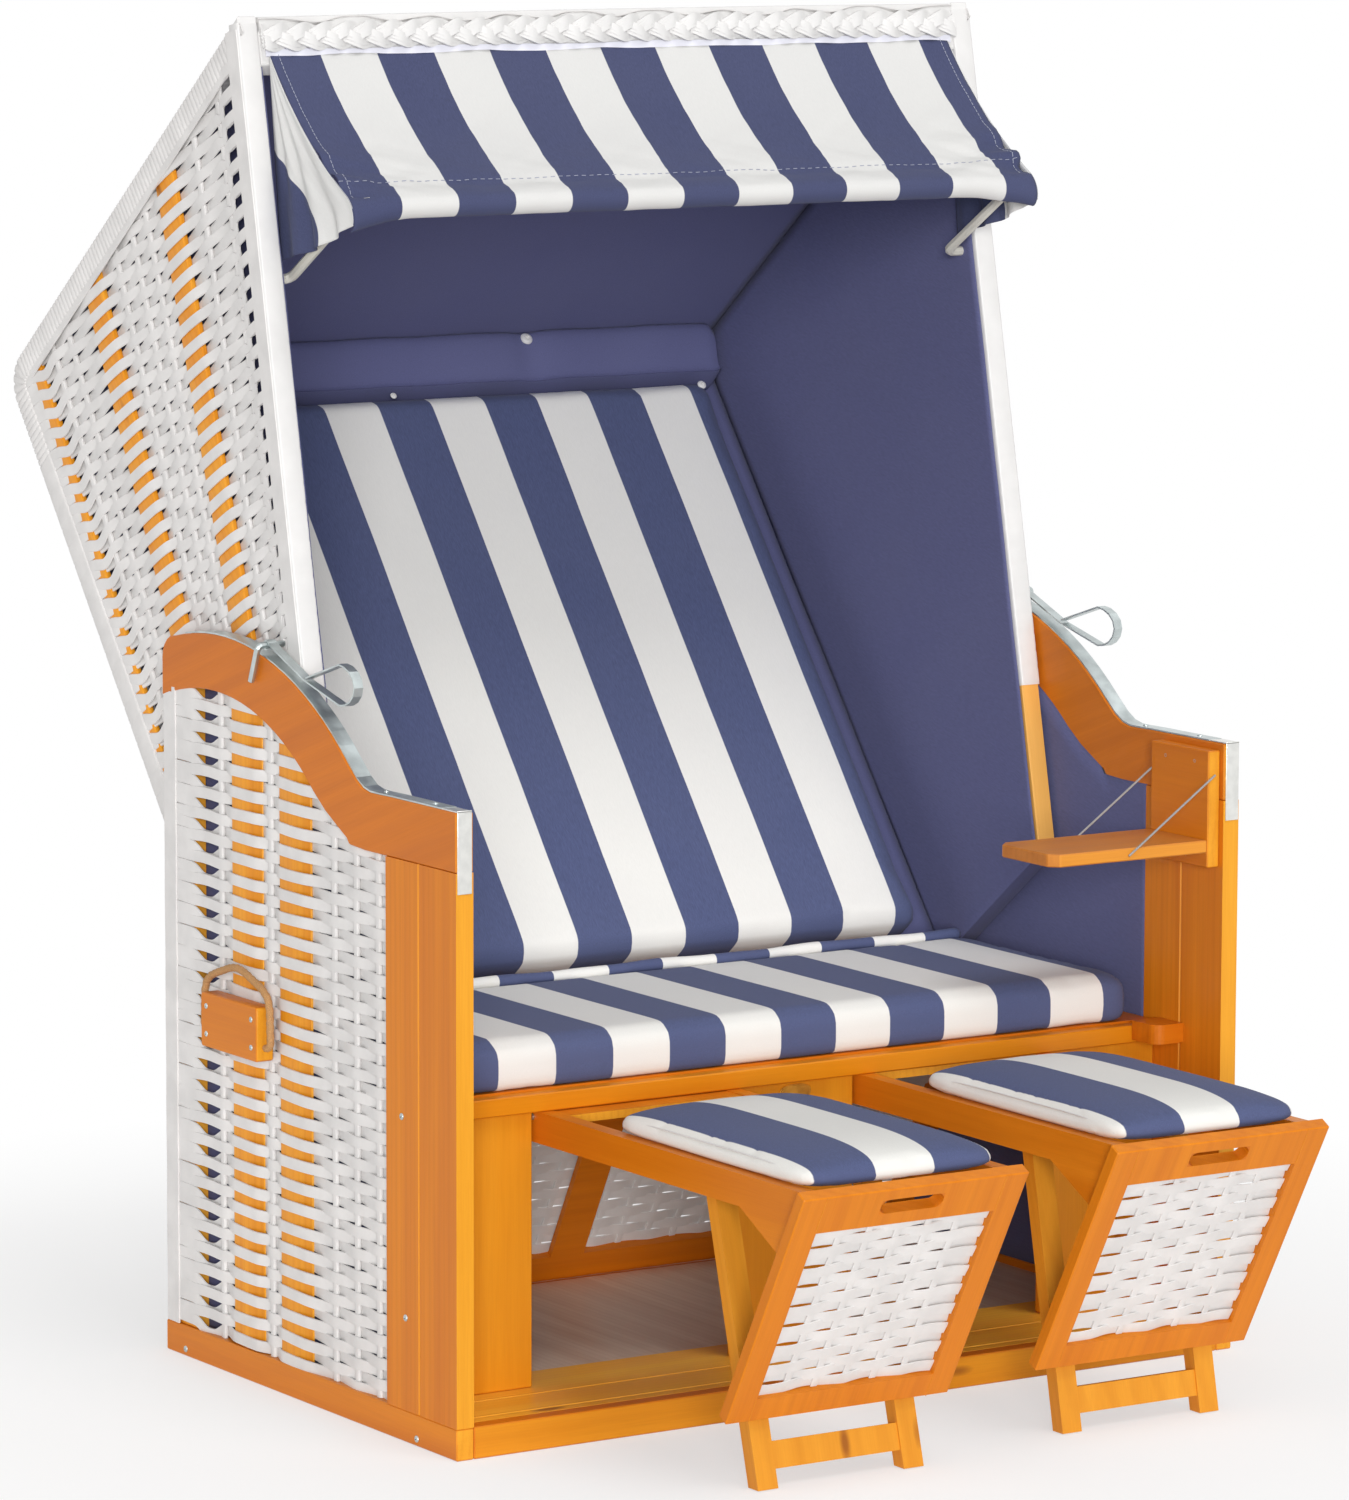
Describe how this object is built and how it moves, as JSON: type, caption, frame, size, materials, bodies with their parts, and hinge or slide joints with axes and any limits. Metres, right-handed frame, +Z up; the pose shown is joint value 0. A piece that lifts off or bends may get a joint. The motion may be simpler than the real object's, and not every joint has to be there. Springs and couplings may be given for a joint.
{
  "type": "hooded beach chair",
  "caption": "Hooded wicker beach chair: tilting hood, folding awning, striped cushions, pull-out footrests with folding legs, and a folding side table.",
  "frame": {"origin": "centre of the base on the ground, within 5 mm of the middle of the whole chair's bounds", "axes": "+Z up, -Y towards the front where the footrests come out, +X towards the side with the table"},
  "size_m": [1.176, 1.6114, 1.6625],
  "materials": {
    "honey_wood": "satin varnish",
    "white_wicker": "flat plastic strip, semi-gloss",
    "striped_canvas": "woven, off-white and navy stripes",
    "navy_canvas": "woven",
    "zinc_steel": "galvanised",
    "natural_rope": "twisted fibre"
  },
  "bodies": {
    "base": {"arm_rail_left": "honey_wood", "arm_rail_right": "honey_wood", "bottom_rail_left": "honey_wood", "bottom_rail_right": "honey_wood", "corner_block_left": "honey_wood", "corner_block_right": "honey_wood", "deck_board": "honey_wood", "floor_panel": "honey_wood", "front_panel_centre": "honey_wood", "front_panel_left": "honey_wood", "front_panel_right": "honey_wood", "front_rail": "honey_wood", "handle_block_left": "honey_wood", "handle_block_right": "honey_wood", "handle_rope_left": "natural_rope", "handle_rope_right": "natural_rope", "rail_strip_left": "zinc_steel", "rail_strip_right": "zinc_steel", "rear_rail": "honey_wood", "seat_board": "honey_wood", "seat_cushion": "striped_canvas", "seat_rail": "honey_wood", "side_boards_left": "honey_wood", "side_boards_right": "honey_wood", "side_wicker_left": "white_wicker", "side_wicker_right": "white_wicker", "table_bracket": "honey_wood", "table_cord_front": "natural_rope", "table_cord_rear": "natural_rope"},
    "hood": {"hood_post_left": "honey_wood", "hood_post_right": "honey_wood", "hood_side_left": "white_wicker", "hood_side_right": "white_wicker", "hood_back": "white_wicker", "hood_roof": "white_wicker", "hood_top_rail": "honey_wood", "hood_lining": "navy_canvas", "back_cushion": "striped_canvas", "neck_roll": "navy_canvas", "awning_cloth": "striped_canvas"},
    "awning_bow": {"awning_bow": "zinc_steel"},
    "table": {"table_top": "honey_wood"},
    "flap": {"flap_frame": "honey_wood", "flap_weave": "white_wicker"},
    "lock_hook_left": {"lock_hook_left": "zinc_steel"},
    "lock_lever_left": {"lock_lever_left": "zinc_steel"},
    "footrest_left": {"footrest_rod_left": "zinc_steel", "footrest_frame_left": "honey_wood", "footrest_panel_left": "honey_wood", "footrest_weave_left": "white_wicker", "footrest_cushion_left": "striped_canvas"},
    "footrest_legs_left": {"footrest_legs_left": "honey_wood"},
    "lock_hook_right": {"lock_hook_right": "zinc_steel"},
    "lock_lever_right": {"lock_lever_right": "zinc_steel"},
    "footrest_right": {"footrest_rod_right": "zinc_steel", "footrest_frame_right": "honey_wood", "footrest_panel_right": "honey_wood", "footrest_weave_right": "white_wicker", "footrest_cushion_right": "striped_canvas"},
    "footrest_legs_right": {"footrest_legs_right": "honey_wood"}
  },
  "joints": [
    {"name": "hood_tilt", "type": "hinge", "parent": "base", "child": "hood", "pos_m": [0, 0.225, 0.445], "axis": [1, 0, 0], "range_deg": [0, 21]},
    {"name": "lock_hook_swing_left", "type": "hinge", "parent": "hood", "child": "lock_hook_left", "pos_m": [0, 0.1, 0.9128], "axis": [1, 0, 0], "range_deg": [-21, 0]},
    {"name": "lock_lever_lift_left", "type": "hinge", "parent": "lock_hook_left", "child": "lock_lever_left", "pos_m": [0, 0.1, 0.9128], "axis": [-1, 0, 0], "range_deg": [0, 35]},
    {"name": "lock_hook_swing_right", "type": "hinge", "parent": "hood", "child": "lock_hook_right", "pos_m": [0, 0.1, 0.9128], "axis": [1, 0, 0], "range_deg": [-21, 0]},
    {"name": "lock_lever_lift_right", "type": "hinge", "parent": "lock_hook_right", "child": "lock_lever_right", "pos_m": [0, 0.1, 0.9128], "axis": [-1, 0, 0], "range_deg": [0, 35]},
    {"name": "awning_fold", "type": "hinge", "parent": "hood", "child": "awning_bow", "pos_m": [0, 0.17239, 1.34573], "axis": [-1, 0, 0], "range_deg": [0, 60], "deforming": ["awning_cloth"]},
    {"name": "table_fold", "type": "hinge", "parent": "base", "child": "table", "pos_m": [0.5229, -0.2855, 0.646], "axis": [0, 1, 0], "range_deg": [0, 90], "deforming": ["table_cord_front", "table_cord_rear"]},
    {"name": "flap_open", "type": "hinge", "parent": "base", "child": "flap", "pos_m": [0, 0.3385, 0.0343], "axis": [-1, 0, 0], "range_deg": [0, 100]},
    {"name": "footrest_slide_left", "type": "slide", "parent": "base", "child": "footrest_left", "axis": [0, 1, 0], "range_m": [0, 0.12]},
    {"name": "leg_fold_left", "type": "hinge", "parent": "footrest_left", "child": "footrest_legs_left", "pos_m": [-0.23055, -0.552, 0.3506], "axis": [1, 0, 0], "range_deg": [0, 105.6]},
    {"name": "footrest_slide_right", "type": "slide", "parent": "base", "child": "footrest_right", "axis": [0, 1, 0], "range_m": [-0.036, 0.084]},
    {"name": "leg_fold_right", "type": "hinge", "parent": "footrest_right", "child": "footrest_legs_right", "pos_m": [0.23055, -0.5347, 0.3506], "axis": [1, 0, 0], "range_deg": [0, 101.6]}
  ],
  "couplings": [
    {"joint": "lock_hook_swing_left", "follows": "hood_tilt", "ratio": -1},
    {"joint": "lock_hook_swing_right", "follows": "hood_tilt", "ratio": -1}
  ]
}
